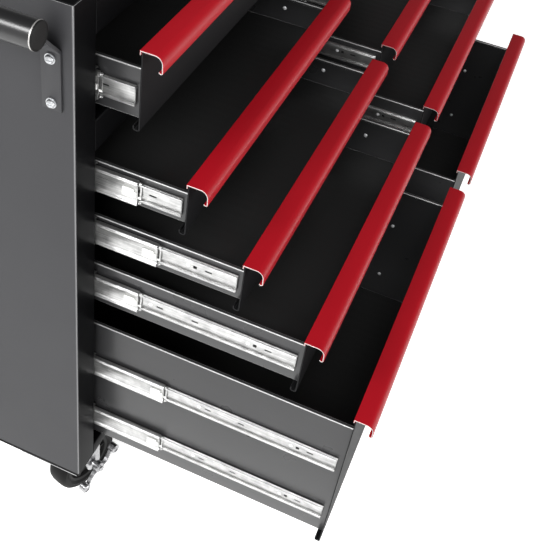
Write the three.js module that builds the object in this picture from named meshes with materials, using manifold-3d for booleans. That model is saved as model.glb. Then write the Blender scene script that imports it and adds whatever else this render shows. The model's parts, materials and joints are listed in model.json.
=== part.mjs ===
// A rolling tool chest: a folded sheet steel cabinet with one full-width drawer over two
// banks of four, ball-bearing slides, red pulls, a push handle and four casters.
// Millimetres. X runs to the right, Y to the back and Z up. While it is being built,
// x = 0 is the left side, y = 0 the front face and z = 0 the underside of the cabinet.
import * as THREE from 'three';
import { mergeVertices } from 'three/addons/utils/BufferGeometryUtils.js';
import Module from 'manifold-3d';

const wasm = await Module();
wasm.setup();

// Cabinet
const WIDTH = 1255;
const DEPTH = 610;
const HEIGHT = 860;
const SHEET = 1.5;
const GAP = 0.3;
const STILE = 48;
const FRONT_RETURN = 18;
const REAR_FLANGE = 12;
const FRAME_CLEARANCE = 3;
const CENTRE_STILE = 47;
const LINER_FACE = 49;
const LINER_FRONT = 20;
const LINER_BACK = 560;
const LINER_BOTTOM = 12;
const LINER_TOP = 845;
const LINER_SHEET = 1.2;
const MIDDLE = WIDTH / 2;
const CENTRE_LINER = 24.5;
const BOTTOM_RAIL_TOP = 27;
const MIDDLE_RAIL = [637, 683];
const TOP_RAIL_BOTTOM = 800;
const TOP_RIBS = [190, 400];
const BASE_RIBS = [120, 240, 360, 480];

// Slides
const SLIDE_DEPTH = 12.7;
const SLIDE_FRONT = 4;
const SLIDE_BACK = 556;
const SLIDE_SHEET = 1.2;
const CABINET_MEMBER_HALF = 22.8;
const MIDDLE_MEMBER_HALF = 19;
const DRAWER_MEMBER_HALF = 14;
const MIDDLE_MEMBER_LENGTH = 440;

// Drawers: z range of the front, z range of the tray, heights of its slides, how far
// the drawer stands open at rest, and how far its middle members stand out.
const ROWS = [
  { front: [686, 797], tray: [697, 766], slides: [729.5], open: 56, middle: 0 },
  { front: [552, 634], tray: [563, 611], slides: [588.5], open: 125, middle: 56 },
  { front: [457, 540], tray: [468, 519], slides: [496.5], open: 209, middle: 88 },
  { front: [348, 448], tray: [358, 431], slides: [396], open: 305, middle: 64 },
  { front: [32, 341], tray: [46, 308], slides: [222, 98], open: 393, middle: 113 },
];
const TRAY_LENGTH = 520;
const TRAY_LIP = 6;
const HEM = 9;
const PULL_DEPTH = 26;
const PULL_DROP = 23;
const PULL_SHEET = 2;

// Push handle
const HANDLE_OUT = 55;
const HANDLE_HEIGHT = 850;
const HANDLE_RADIUS = 16.5;
const HANDLE_WALL = 1.5;
const HANDLE_ENDS = [7, 603];
const BRACKET_INSET = 14;
const BRACKET_WIDTH = 25;
const BRACKET_SHEET = 4;
const BRACKET_FOOT = 721.5;
const BRACKET_BEND = 799.5;

// Casters
const WHEEL_RADIUS = 62.5;
const WHEEL_WIDTH = 40;
const CASTER_HEIGHT = 150;
const CASTER_INSET = [59, 57];
const RIGID_INSET = 68;
const TRAIL = 34;
const SWIVEL_TURN = THREE.MathUtils.degToRad(-15);
const PLATE = [114, 104, 4];
const RACE_DEPTH = 7;
const CROWN_DEPTH = 7;
const LEG_INSIDE = 25;
const LEG_SHEET = 4;
const AXLE_RADIUS = 6;
const AXLE_REACH = 5;
const BRAKE_OUT = 42;
const BRAKE_ARM = 41;
const BRAKE_TILT = THREE.MathUtils.degToRad(32);

const steelBlack = { color: 0x1b1b1c, roughness: 0.35, metalness: 0.1 };
const steelGrey = { color: 0x4d4d4d, roughness: 0.5, metalness: 0.1 };
const zinc = { color: 0xc8cacc, roughness: 0.35, metalness: 0.9 };
const redPull = { color: 0xb3121d, roughness: 0.35, metalness: 0.3 };
const rubber = { color: 0x161616, roughness: 0.8, metalness: 0 };
const plastic = { color: 0x101010, roughness: 0.6, metalness: 0 };

const chest = new THREE.Group();

// ---- Geometry helpers ----

function block([x0, x1], [y0, y1], [z0, z1]) {
  const box = new THREE.BoxGeometry(x1 - x0, y1 - y0, z1 - z0);
  return box.translate((x0 + x1) / 2, (y0 + y1) / 2, (z0 + z1) / 2);
}

// An outline drawn in the other two coordinates (yz, xz or xy) and extruded along an axis.
function prism(axis, outline, [start, end]) {
  const flat = axis === 'y' ? outline.map(([x, z]) => [z, x]) : outline;
  const shape = new THREE.Shape(flat.map(([u, v]) => new THREE.Vector2(u, v)));
  const geometry = new THREE.ExtrudeGeometry(shape, { depth: end - start, bevelEnabled: false });
  geometry.translate(0, 0, start);
  const turn = new THREE.Matrix4();
  if (axis === 'x') turn.set(0, 0, 1, 0, 1, 0, 0, 0, 0, 1, 0, 0, 0, 0, 0, 1);
  if (axis === 'y') turn.set(0, 1, 0, 0, 0, 0, 1, 0, 1, 0, 0, 0, 0, 0, 0, 1);
  return geometry.applyMatrix4(turn);
}

// A bent strip of sheet: the path is one face and the sheet lies to its left, mitred at bends.
function foldedStrip(path, thickness) {
  const normals = path.slice(1).map(([u, v], i) => {
    const [du, dv] = [u - path[i][0], v - path[i][1]];
    const length = Math.hypot(du, dv);
    return [-dv / length, du / length];
  });
  const inner = path.map(([u, v], i) => {
    const before = normals[Math.max(i - 1, 0)];
    const after = normals[Math.min(i, normals.length - 1)];
    const scale = thickness / (1 + before[0] * after[0] + before[1] * after[1]);
    return [u + (before[0] + after[0]) * scale, v + (before[1] + after[1]) * scale];
  });
  return [...path, ...inner.reverse()];
}

function arc([u, v], radius, startDegrees, endDegrees, steps) {
  return Array.from({ length: steps + 1 }, (_, i) => {
    const angle = THREE.MathUtils.degToRad(startDegrees + ((endDegrees - startDegrees) * i) / steps);
    return [u + radius * Math.cos(angle), v + radius * Math.sin(angle)];
  });
}

function rod(axis, [x, y, z], radius, length, sides = 20) {
  const geometry = new THREE.CylinderGeometry(radius, radius, length, sides);
  if (axis === 'z') geometry.rotateX(Math.PI / 2);
  return geometry.translate(x, y, z);
}

// A round piece turned about an axis along Y, from [radius, distance along the axis] points.
function turned([x, y, z], profile, sides) {
  const closed = [...profile, profile[0]];
  const geometry = new THREE.LatheGeometry(closed.map(([r, h]) => new THREE.Vector2(r, h)), sides);
  return geometry.translate(x, y, z);
}

function toSolid(geometry) {
  const bare = geometry.clone();
  bare.deleteAttribute('normal');
  bare.deleteAttribute('uv');
  const welded = mergeVertices(bare, 1e-4);
  return new wasm.Manifold(new wasm.Mesh({
    numProp: 3,
    vertProperties: new Float32Array(welded.attributes.position.array),
    triVerts: new Uint32Array(welded.index.array),
  }));
}

function toGeometry(solid) {
  const mesh = solid.getMesh();
  const geometry = new THREE.BufferGeometry();
  geometry.setAttribute('position', new THREE.BufferAttribute(mesh.vertProperties, 3));
  geometry.setIndex(new THREE.BufferAttribute(mesh.triVerts, 1));
  return geometry;
}

function join(...geometries) {
  return toGeometry(geometries.map(toSolid).reduce((whole, next) => whole.add(next)));
}

function cut(geometry, ...tools) {
  return toGeometry(tools.map(toSolid).reduce((rest, tool) => rest.subtract(tool), toSolid(geometry)));
}

// The same shape on the other side of the cabinet's middle, with its faces still outwards.
function mirrored(geometry) {
  const copy = geometry.index ? geometry.clone() : mergeVertices(geometry);
  copy.applyMatrix4(new THREE.Matrix4().makeScale(-1, 1, 1)).translate(WIDTH, 0, 0);
  const order = copy.index.array;
  for (let i = 0; i < order.length; i += 3) [order[i], order[i + 1]] = [order[i + 1], order[i]];
  return copy;
}

function addPiece(name, geometry, finish, parent = chest) {
  geometry.computeVertexNormals();
  const mesh = new THREE.Mesh(geometry, new THREE.MeshStandardMaterial(finish));
  mesh.name = name;
  parent.add(mesh);
  return mesh;
}

// ---- Cabinet shell ----

function sidePanel() {
  const rear = DEPTH - SHEET - GAP;
  const plan = [[REAR_FLANGE, rear], [0, rear], [0, 0], [STILE, 0], [STILE, FRONT_RETURN]];
  return prism('z', foldedStrip(plan, SHEET), [GAP, HEIGHT - SHEET - GAP]);
}

function topPanel() {
  const plate = block([0, WIDTH], [0, DEPTH], [HEIGHT - SHEET, HEIGHT]);
  const ribs = TOP_RIBS.map((y) => block([STILE, WIDTH - STILE], [y, y + SHEET], [HEIGHT - 14, HEIGHT - 1]));
  return join(plate, ...ribs);
}

function basePanel() {
  const inner = [SHEET + GAP, WIDTH - SHEET - GAP];
  const plate = block(inner, [FRONT_RETURN + GAP, DEPTH - 2 * SHEET - 2 * GAP], [0, SHEET]);
  const ribs = BASE_RIBS.map((y) => block([STILE * 2, WIDTH - STILE * 2], [y, y + 14], [1, 10]));
  return join(plate, ...ribs);
}

function rail([bottom, top]) {
  const section = [[FRONT_RETURN, bottom], [0, bottom], [0, top], [FRONT_RETURN, top]];
  const span = [STILE + GAP, WIDTH - STILE - GAP];
  return prism('x', foldedStrip([...section].reverse(), SHEET), span);
}

function centreStile() {
  const half = CENTRE_STILE / 2;
  const plan = [
    [MIDDLE - half, FRONT_RETURN], [MIDDLE - half, 0], [MIDDLE + half, 0], [MIDDLE + half, FRONT_RETURN],
  ];
  return prism('z', foldedStrip(plan, SHEET), [BOTTOM_RAIL_TOP + GAP, MIDDLE_RAIL[0] - GAP]);
}

// A three-sided channel whose mouth faces the drawer, on a web that stands along Y.
function slideMember([webX, mouthX], half, height, [front, back]) {
  const section = [
    [mouthX, height - half], [webX, height - half], [webX, height + half], [mouthX, height + half],
  ];
  const path = webX < mouthX ? section.reverse() : section;
  return prism('y', foldedStrip(path, SLIDE_SHEET), [front, back]);
}

// The wall that the slides are screwed to: a shallow channel with its cabinet members.
function slideLiner(anchorX, faceX, top, heights) {
  const plan = [
    [anchorX, LINER_FRONT], [faceX, LINER_FRONT], [faceX, LINER_BACK], [anchorX, LINER_BACK],
  ];
  const wall = prism('z', foldedStrip(plan, LINER_SHEET), [LINER_BOTTOM, top]);
  const members = heights.map((height) => slideMember(
    [faceX - 0.2, faceX + SLIDE_DEPTH - 0.6], CABINET_MEMBER_HALF, height, [SLIDE_FRONT, SLIDE_BACK],
  ));
  return join(wall, ...members);
}

const slideHeights = ROWS.map((row) => row.slides);
const sideHeights = slideHeights.flat();
const centreHeights = slideHeights.slice(1).flat();
const leftLiner = slideLiner(SHEET + GAP, LINER_FACE, LINER_TOP, sideHeights);
const centreRight = slideLiner(MIDDLE + 1, MIDDLE + CENTRE_LINER, MIDDLE_RAIL[0] - GAP, centreHeights);

addPiece('side_panel_left', sidePanel(), steelGrey);
addPiece('side_panel_right', mirrored(sidePanel()), steelGrey);
addPiece('back_panel', block([0, WIDTH], [DEPTH - SHEET, DEPTH], [GAP, HEIGHT - SHEET - GAP]), steelBlack);
addPiece('top_panel', topPanel(), steelBlack);
addPiece('base_panel', basePanel(), steelBlack);
addPiece('top_rail', rail([TOP_RAIL_BOTTOM, HEIGHT - SHEET - GAP]), steelBlack);
addPiece('middle_rail', rail(MIDDLE_RAIL), steelBlack);
addPiece('bottom_rail', rail([GAP, BOTTOM_RAIL_TOP]), steelBlack);
addPiece('centre_stile', centreStile(), steelBlack);
addPiece('slide_liner_left', leftLiner, steelBlack);
addPiece('slide_liner_right', mirrored(leftLiner), steelBlack);
addPiece('slide_liner_centre_right', centreRight, steelBlack);
addPiece('slide_liner_centre_left', mirrored(centreRight), steelBlack);

// ---- Drawers ----

// One drawer between two liner faces. Its front is flush with the frame when it is shut.
function tray(row, [left, right], [frontLeft, frontRight]) {
  const face = -row.open;
  const [bottom, top] = row.tray;
  const [wallLeft, wallRight] = [left + SLIDE_DEPTH, right - SLIDE_DEPTH];
  const section = [
    [wallLeft + TRAY_LIP, top], [wallLeft, top], [wallLeft, bottom],
    [wallRight, bottom], [wallRight, top], [wallRight - TRAY_LIP, top],
  ];
  const pan = prism('y', foldedStrip(section, SHEET), [face + 1, face + TRAY_LENGTH]);
  const back = block([wallLeft + 1, wallRight - 1], [face + TRAY_LENGTH - SHEET, face + TRAY_LENGTH],
    [bottom + 1, top - 0.5]);
  const [frontBottom, frontTop] = row.front;
  const frontSection = [
    [face, frontTop], [face, frontBottom], [face + HEM, frontBottom], [face + HEM, frontBottom + 7],
  ];
  const front = prism('x', foldedStrip(frontSection, SHEET), [frontLeft, frontRight]);
  const span = [face + 10, face + TRAY_LENGTH - 6];
  const members = row.slides.flatMap((height) => [
    slideMember([wallLeft + 0.2, wallLeft - 7.2], DRAWER_MEMBER_HALF, height, span),
    slideMember([wallRight - 0.2, wallRight + 7.2], DRAWER_MEMBER_HALF, height, span),
  ]);
  return join(pan, back, front, ...members);
}

// The pull is one bent strip: a leg on the drawer front, a flat top, a round nose and a bead.
function pull(row, span) {
  const face = -row.open - GAP;
  const top = row.front[1];
  const nose = 9;
  const section = [
    [face, top - 15], [face, top],
    ...arc([face - PULL_DEPTH + nose, top - nose], nose, 90, 180, 4),
    [face - PULL_DEPTH + 0.8, top - PULL_DROP + 3],
    [face - PULL_DEPTH + 2.6, top - PULL_DROP],
    [face - PULL_DEPTH + 5.4, top - PULL_DROP + 0.6],
  ];
  return prism('x', foldedStrip(section, PULL_SHEET), span);
}

function middleMember(row, height, linerFace) {
  const front = -row.middle;
  return slideMember([linerFace + 2.4, linerFace + 10.4], MIDDLE_MEMBER_HALF, height,
    [front, front + MIDDLE_MEMBER_LENGTH]);
}

function addDrawer(name, row, liners, fronts) {
  addPiece(`${name}_tray`, tray(row, liners, fronts), steelBlack);
  addPiece(`${name}_pull`, pull(row, fronts), redPull);
  row.slides.forEach((height, i) => {
    const suffix = row.slides.length > 1 ? ['_upper', '_lower'][i] : '';
    addPiece(`${name}_slide_middle${suffix}`, middleMember(row, height, liners[0]), zinc);
  });
}

const frontEdge = STILE + FRAME_CLEARANCE;
const centreEdge = CENTRE_STILE / 2 + FRAME_CLEARANCE;
addDrawer('drawer_top', ROWS[0], [LINER_FACE, WIDTH - LINER_FACE], [frontEdge, WIDTH - frontEdge]);
ROWS.slice(1).forEach((row, i) => {
  const leftLiners = [LINER_FACE, MIDDLE - CENTRE_LINER];
  const rightLiners = [MIDDLE + CENTRE_LINER, WIDTH - LINER_FACE];
  addDrawer(`drawer_left_${i + 1}`, row, leftLiners, [frontEdge, MIDDLE - centreEdge]);
  addDrawer(`drawer_right_${i + 1}`, row, rightLiners, [MIDDLE + centreEdge, WIDTH - frontEdge]);
});

// ---- Lock ----

const lockHeight = (TOP_RAIL_BOTTOM + HEIGHT) / 2;
const lockBarrel = rod('y', [MIDDLE, -2.8, lockHeight], 11, 5, 24);
const keySlot = block([MIDDLE - 1, MIDDLE + 1], [-8, -3], [lockHeight - 5, lockHeight + 5]);
addPiece('lock_cylinder', cut(lockBarrel, keySlot), zinc);

// ---- Push handle ----

const handleMiddle = (HANDLE_ENDS[0] + HANDLE_ENDS[1]) / 2;
const handleLength = HANDLE_ENDS[1] - HANDLE_ENDS[0];
const handleBore = HANDLE_RADIUS - HANDLE_WALL;
const tube = turned([-HANDLE_OUT, handleMiddle, HANDLE_HEIGHT], [
  [handleBore, -handleLength / 2], [HANDLE_RADIUS, -handleLength / 2],
  [HANDLE_RADIUS, handleLength / 2], [handleBore, handleLength / 2],
], 32);
addPiece('handle_tube', tube, steelBlack);

function endCap(end, outwards) {
  const plug = rod('y', [-HANDLE_OUT, end - outwards * 6, HANDLE_HEIGHT], handleBore - GAP, 13, 24);
  const disc = rod('y', [-HANDLE_OUT, end + outwards * (GAP + 1.2), HANDLE_HEIGHT], HANDLE_RADIUS, 2.4, 32);
  return join(plug, disc);
}

// A flat bar bent off the side panel, rising to the underside of the tube.
function bracket([front, back]) {
  const face = -GAP;
  const section = [
    [face, BRACKET_FOOT], [face, BRACKET_BEND],
    [-HANDLE_OUT + 14, HANDLE_HEIGHT - 8], [-HANDLE_OUT + 2, HANDLE_HEIGHT - 8],
  ];
  const bar = prism('y', foldedStrip(section, BRACKET_SHEET), [front, back]);
  const clearance = rod('y', [-HANDLE_OUT, (front + back) / 2, HANDLE_HEIGHT], HANDLE_RADIUS + GAP, 60, 32);
  return cut(bar, clearance);
}

addPiece('handle_bracket_front', bracket([BRACKET_INSET, BRACKET_INSET + BRACKET_WIDTH]), steelGrey);
addPiece('handle_bracket_rear',
  bracket([DEPTH - BRACKET_INSET - BRACKET_WIDTH, DEPTH - BRACKET_INSET]), steelGrey);
addPiece('handle_cap_front', endCap(HANDLE_ENDS[0], -1), plastic);
addPiece('handle_cap_rear', endCap(HANDLE_ENDS[1], 1), plastic);

// ---- Casters ----
// Each is built about its own swivel axis, with its wheel's axle along Y and z = 0 on the base.

const axleHeight = WHEEL_RADIUS - CASTER_HEIGHT;
const plateTop = -GAP;
const plateBottom = plateTop - PLATE[2];
const crownTop = plateBottom - RACE_DEPTH - GAP;
const crownBottom = crownTop - CROWN_DEPTH;

function topPlate() {
  const [length, width] = PLATE;
  const plate = block([-length / 2, length / 2], [-width / 2, width / 2], [plateBottom, plateTop]);
  const race = rod('z', [0, 0, plateBottom - RACE_DEPTH / 2 + 0.5], 30, RACE_DEPTH + 1, 32);
  return join(plate, race);
}

function leg(side, wheelX, crownHalf, top) {
  const outline = [
    [wheelX - crownHalf - 12, top], ...arc([wheelX, axleHeight], 15, 180, 360, 8), [wheelX - 12 + crownHalf, top],
  ];
  const near = side * LEG_INSIDE;
  const far = side * (LEG_INSIDE + LEG_SHEET);
  return prism('y', outline, [Math.min(near, far), Math.max(near, far)]);
}

function fork(wheelX, crown, crownHalf, top) {
  const axleLength = 2 * (LEG_INSIDE + LEG_SHEET + AXLE_REACH);
  const axle = rod('y', [wheelX, 0, axleHeight], AXLE_RADIUS, axleLength, 16);
  return join(crown, leg(-1, wheelX, crownHalf, top), leg(1, wheelX, crownHalf, top), axle);
}

function swivelFork() {
  const disc = rod('z', [0, 0, (crownTop + crownBottom) / 2], 33, CROWN_DEPTH, 32);
  const bridge = block([-24, 34], [-LEG_INSIDE - LEG_SHEET, LEG_INSIDE + LEG_SHEET], [crownBottom, crownTop]);
  return fork(TRAIL, join(disc, bridge), 26, crownTop - 0.1);
}

function rigidFork() {
  const [length, width] = PLATE;
  const plate = block([-length / 2, length / 2], [-width / 2, width / 2], [plateBottom, plateTop]);
  return fork(0, plate, 38, plateBottom + 0.1);
}

function wheel(wheelX) {
  const half = WHEEL_WIDTH / 2;
  const hub = LEG_INSIDE - 0.6;
  const bore = AXLE_RADIUS + GAP;
  const profile = [
    [bore, -hub], [bore + 9, -hub], [bore + 10, -half + 5], [WHEEL_RADIUS - 18, -half + 4],
    [WHEEL_RADIUS - 14, -half], [WHEEL_RADIUS - 4, -half], [WHEEL_RADIUS, -half + 7],
    [WHEEL_RADIUS, half - 7], [WHEEL_RADIUS - 4, half], [WHEEL_RADIUS - 14, half],
    [WHEEL_RADIUS - 18, half - 4], [bore + 10, half - 5], [bore + 9, hub], [bore, hub],
  ];
  return turned([wheelX, 0, axleHeight], profile, 32);
}

// A rocker with a foot pad on each end, which tips about the axle line outside the fork's leg.
function brakePedal() {
  const axleEnd = LEG_INSIDE + LEG_SHEET + AXLE_REACH + GAP;
  const hub = rod('y', [0, -(axleEnd + BRAKE_OUT + 3) / 2, 0], 10, BRAKE_OUT + 3 - axleEnd, 20);
  const bar = prism('y', [
    [-BRAKE_ARM, -4.5], [0, -9], [BRAKE_ARM, -4.5], [BRAKE_ARM, 4.5], [0, 9], [-BRAKE_ARM, 4.5],
  ], [-BRAKE_OUT - 2, -BRAKE_OUT + 2]);
  const pads = [-BRAKE_ARM, BRAKE_ARM].map((along) => rod('y', [along, -BRAKE_OUT, 0], 8, 14, 16));
  return join(hub, bar, ...pads).rotateY(-BRAKE_TILT).translate(TRAIL, 0, axleHeight);
}

function addCaster(name, [x, y], swivels) {
  const place = new THREE.Group();
  place.position.set(x, y, 0);
  chest.add(place);
  if (!swivels) {
    addPiece(`${name}_bracket`, rigidFork(), zinc, place);
    addPiece(`${name}_wheel`, wheel(0), rubber, place);
    return;
  }
  addPiece(`${name}_plate`, topPlate(), zinc, place);
  const turning = new THREE.Group();
  turning.rotation.z = SWIVEL_TURN;
  place.add(turning);
  addPiece(`${name}_fork`, swivelFork(), zinc, turning);
  addPiece(`${name}_wheel`, wheel(TRAIL), rubber, turning);
  addPiece(`${name}_brake_pedal`, brakePedal(), zinc, turning);
}

const [insetX, insetY] = CASTER_INSET;
addCaster('caster_front_left', [insetX, insetY], true);
addCaster('caster_rear_left', [insetX, DEPTH - insetY], true);
addCaster('caster_front_right', [WIDTH - RIGID_INSET, insetY], false);
addCaster('caster_rear_right', [WIDTH - RIGID_INSET, DEPTH - insetY], false);

// ---- Origin ----
// The origin is on the floor, under the middle of the box that the chest fills at rest.

const box = new THREE.Box3().setFromObject(chest);
chest.position.set(-(box.min.x + box.max.x) / 2, -(box.min.y + box.max.y) / 2, -box.min.z);

export default chest;
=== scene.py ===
import json
import math

import bpy
from mathutils import Matrix, Vector


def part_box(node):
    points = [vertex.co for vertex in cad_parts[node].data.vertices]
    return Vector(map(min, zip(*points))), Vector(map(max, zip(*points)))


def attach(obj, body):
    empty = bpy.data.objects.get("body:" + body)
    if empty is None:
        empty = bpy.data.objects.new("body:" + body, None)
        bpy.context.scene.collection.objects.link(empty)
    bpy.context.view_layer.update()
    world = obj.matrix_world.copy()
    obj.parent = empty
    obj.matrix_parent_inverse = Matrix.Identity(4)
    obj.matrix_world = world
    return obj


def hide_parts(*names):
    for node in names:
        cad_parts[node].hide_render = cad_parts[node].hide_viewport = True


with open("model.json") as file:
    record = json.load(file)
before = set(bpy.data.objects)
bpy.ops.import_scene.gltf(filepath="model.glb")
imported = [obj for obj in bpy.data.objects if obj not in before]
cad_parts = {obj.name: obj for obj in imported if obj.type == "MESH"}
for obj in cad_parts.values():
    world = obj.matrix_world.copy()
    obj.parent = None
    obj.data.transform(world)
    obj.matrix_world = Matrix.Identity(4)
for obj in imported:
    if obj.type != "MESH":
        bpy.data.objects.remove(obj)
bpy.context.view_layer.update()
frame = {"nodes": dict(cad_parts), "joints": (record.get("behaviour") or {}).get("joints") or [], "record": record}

# ---------------------------------------------------------------- sizes, in metres

MM = 0.001
SHEET = 1.5 * MM
SLIDE_SHEET = 1.2 * MM
BEND = 2.0 * MM
LOWER_SEAM = 7 * MM

# Slides. Each profile is half a member in millimetres, from its tip to its web: how far out it
# stands and how high, from the drawer wall for the two moving members and from the liner for the
# fixed one
DRAWER_MEMBER = [
    (6.6, 11.7), (6.5, 13.3), (5.6, 14), (4.6, 13.9), (3.6, 13),
    (2.6, 13.9), (1.6, 14), (0.6, 13.1), (0.6, 9.8), (2.2, 8.4),
]
MIDDLE_MEMBER = [
    (2.6, 15.6), (2.6, 17.6), (4.2, 19), (8.8, 19), (10.2, 18),
    (10.2, 16.7), (9.1, 15.9), (10.2, 15.1), (10.2, 13.6), (7.9, 12.4),
]
CABINET_MEMBER = [
    (11.7, 19.4), (11.7, 21.6), (10.4, 22.8), (1.7, 22.8), (0.2, 21.4), (0.2, 17), (1, 15.4),
]
SLIDE_DEPTH = 12.7 * MM
MIDDLE_FACE = 10.2 * MM
MEMBER_START = 10 * MM
MEMBER_END = 6 * MM
# along a drawer member from its front end
SLOTS = [40 * MM, 147 * MM, 200 * MM, 330 * MM, 440 * MM]
SQUARES = [59 * MM, 310 * MM]
SCREWS = [69 * MM, 214 * MM, 380 * MM]

# Drawers
TRAY_LIP = 6 * MM
TRAY_HEM = 4 * MM
OPENING_SIDE = 8 * MM
OPENING_FLOOR = 2.5 * MM
FRONT_HEM = 9 * MM
PULL_DEPTH = 26 * MM
PULL_DROP = 23 * MM
PULL_SHEET = 2 * MM
PULL_NOSE = 11 * MM
MAT = 1.2 * MM

# Casters
PEDAL_ARM = 41 * MM
PEDAL_TILT = 32

# Camera, from the lower front corner of the left side
EYE_FROM_CORNER = Vector((-0.741, -0.4472, 1.3541))
EYE_TURN = -72.0
EYE_TILT = 40.62
EYE_ROLL = 7.95
EYE_LENS = 61.66
EYE_SHIFT = (0.0636, -0.1364)

# Light: the sky's strength at the horizon and overhead, then each lamp's name, place, what it
# points at, size and watts
SKY = (0.8, 0.14)
FLOOR_GLOW = 0.75
LIGHTS = [
    ("left_softbox", (-3.2, -0.3, 2.4), (-0.3, 0, 0.7), (1.8, 1.7), 110),
    ("handle_softbox", (-2.4, 1.2, 2.8), (-0.65, -0.1, 1.0), (0.9, 0.7), 45),
    ("front_softbox", (0.4, -3.8, 1.0), (0, -0.3, 0.5), (2.8, 1.2), 60),
    ("top_softbox", (-1.2, -2.4, 3.4), (0, -0.2, 0.4), (1.2, 1.2), 25),
]

BANKS = ["left", "right"]
ROWS = [1, 2, 3, 4]


# ---------------------------------------------------------------- modelling helpers

def take(*objects):
    """Selects only these objects, the first one active."""
    bpy.ops.object.select_all(action="DESELECT")
    for thing in objects:
        thing.select_set(True)
    bpy.context.view_layer.objects.active = objects[0]


def apply_modifier(piece, kind, **settings):
    take(piece)
    modifier = piece.modifiers.new(kind.title(), kind)
    for key, value in settings.items():
        setattr(modifier, key, value)
    bpy.ops.object.modifier_apply(modifier=modifier.name)


def soften(piece, width, segments=2, angle=50):
    apply_modifier(piece, "BEVEL", width=width, segments=segments, limit_method="ANGLE",
                   angle_limit=math.radians(angle))


def settle(piece):
    """Puts a piece's place into its mesh and shades it."""
    take(piece)
    bpy.ops.object.transform_apply(location=True, rotation=True, scale=True)
    bpy.ops.object.shade_smooth_by_angle(angle=math.radians(35))
    return piece


def recalculate(piece):
    take(piece)
    bpy.ops.object.mode_set(mode="EDIT")
    bpy.ops.mesh.select_all(action="SELECT")
    bpy.ops.mesh.remove_doubles(threshold=1e-6)
    bpy.ops.mesh.normals_make_consistent(inside=False)
    bpy.ops.object.mode_set(mode="OBJECT")


def spot(axis, along, u, v):
    """A point from its place along an axis and its other two coordinates, in x, y, z order."""
    return Vector({"x": (along, u, v), "y": (u, along, v), "z": (u, v, along)}[axis])


def folded_sheet(path, axis, span, thickness, bend=0.0, rounds=3):
    """A strip of sheet as long as span, drawn from one edge and folded through the path.

    The path is one face of the sheet, and the sheet lies on the left of it.
    """
    bpy.ops.object.select_all(action="DESELECT")
    length = span[1] - span[0]
    turn = (math.pi / 2, 0, 0) if axis == "z" else (0, 0, 0)
    centre = spot(axis, (span[0] + span[1]) / 2, *path[0])
    bpy.ops.mesh.primitive_plane_add(size=length, location=centre, rotation=turn)
    bpy.ops.object.mode_set(mode="EDIT")
    bpy.ops.transform.resize(value=[1 if name == axis else 0 for name in "xyz"])
    bpy.ops.mesh.remove_doubles(threshold=length / 100)
    bpy.ops.mesh.select_all(action="SELECT")
    for (u0, v0), (u1, v1) in zip(path, path[1:]):
        step = spot(axis, 0, u1 - u0, v1 - v0)
        bpy.ops.mesh.extrude_region_move(TRANSFORM_OT_translate={"value": step})
    bpy.ops.object.mode_set(mode="OBJECT")
    strip = bpy.context.object
    bpy.ops.object.transform_apply(location=True, rotation=True, scale=True)
    du, dv = path[1][0] - path[0][0], path[1][1] - path[0][1]
    left = spot(axis, 0, -dv, du)
    side = 1 if strip.data.polygons[0].normal.dot(left) > 0 else -1
    if bend:
        apply_modifier(strip, "BEVEL", width=bend, segments=rounds, limit_method="ANGLE",
                       angle_limit=math.radians(35))
    apply_modifier(strip, "SOLIDIFY", thickness=thickness, offset=side, use_even_offset=True)
    soften(strip, thickness / 5, 1, 70)
    return settle(strip)


def block(low, high, bevel, segments=2):
    """A box between two corners, with its edges rounded."""
    bpy.ops.object.select_all(action="DESELECT")
    low, high = Vector(low), Vector(high)
    bpy.ops.mesh.primitive_cube_add(size=1, location=(low + high) / 2, scale=high - low)
    piece = bpy.context.object
    bpy.ops.object.transform_apply(location=True, rotation=True, scale=True)
    soften(piece, bevel, segments)
    return settle(piece)


def turned(axis, centre, profile, steps=48):
    """A round piece spun about an axis, from (radius, distance along the axis) points.

    The profile starts and ends on the axis, or closes on itself.
    """
    bpy.ops.object.select_all(action="DESELECT")
    along = Vector([1 if name == axis else 0 for name in "xyz"])
    out = Vector((0, 0, 1)) if axis != "z" else Vector((1, 0, 0))
    points = [Vector(centre) + out * radius + along * distance for radius, distance in profile]
    bpy.ops.mesh.primitive_plane_add(size=1, location=points[0])
    bpy.ops.object.mode_set(mode="EDIT")
    bpy.ops.mesh.merge(type="CENTER")
    for start, end in zip(points, points[1:]):
        bpy.ops.mesh.extrude_region_move(TRANSFORM_OT_translate={"value": end - start})
    bpy.ops.mesh.select_all(action="SELECT")
    bpy.ops.mesh.spin(steps=steps, angle=2 * math.pi, center=centre, axis=along)
    bpy.ops.object.mode_set(mode="OBJECT")
    piece = bpy.context.object
    recalculate(piece)
    return settle(piece)


def rod(axis, centre, radius, length, bevel, sides=32):
    """A round bar about an axis, with its rims rounded."""
    bpy.ops.object.select_all(action="DESELECT")
    turn = {"x": (0, math.pi / 2, 0), "y": (math.pi / 2, 0, 0), "z": (0, 0, 0)}[axis]
    bpy.ops.mesh.primitive_cylinder_add(vertices=sides, radius=radius, depth=length,
                                        location=centre, rotation=turn)
    piece = bpy.context.object
    bpy.ops.object.transform_apply(location=True, rotation=True, scale=True)
    soften(piece, bevel, 2)
    return settle(piece)


def joined(first, *others):
    """Several closed shapes as one piece."""
    if others:
        take(first, *others)
        bpy.ops.object.join()
    return first


def carve(piece, *tools):
    for tool in tools:
        apply_modifier(piece, "BOOLEAN", operation="DIFFERENCE", object=tool, solver="EXACT")
        bpy.data.objects.remove(tool)
    return settle(piece)


def moved_copy(piece, move):
    take(piece)
    bpy.ops.object.duplicate(linked=False)
    copy = bpy.context.object
    copy.location = Vector(move)
    return settle(copy)


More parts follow.
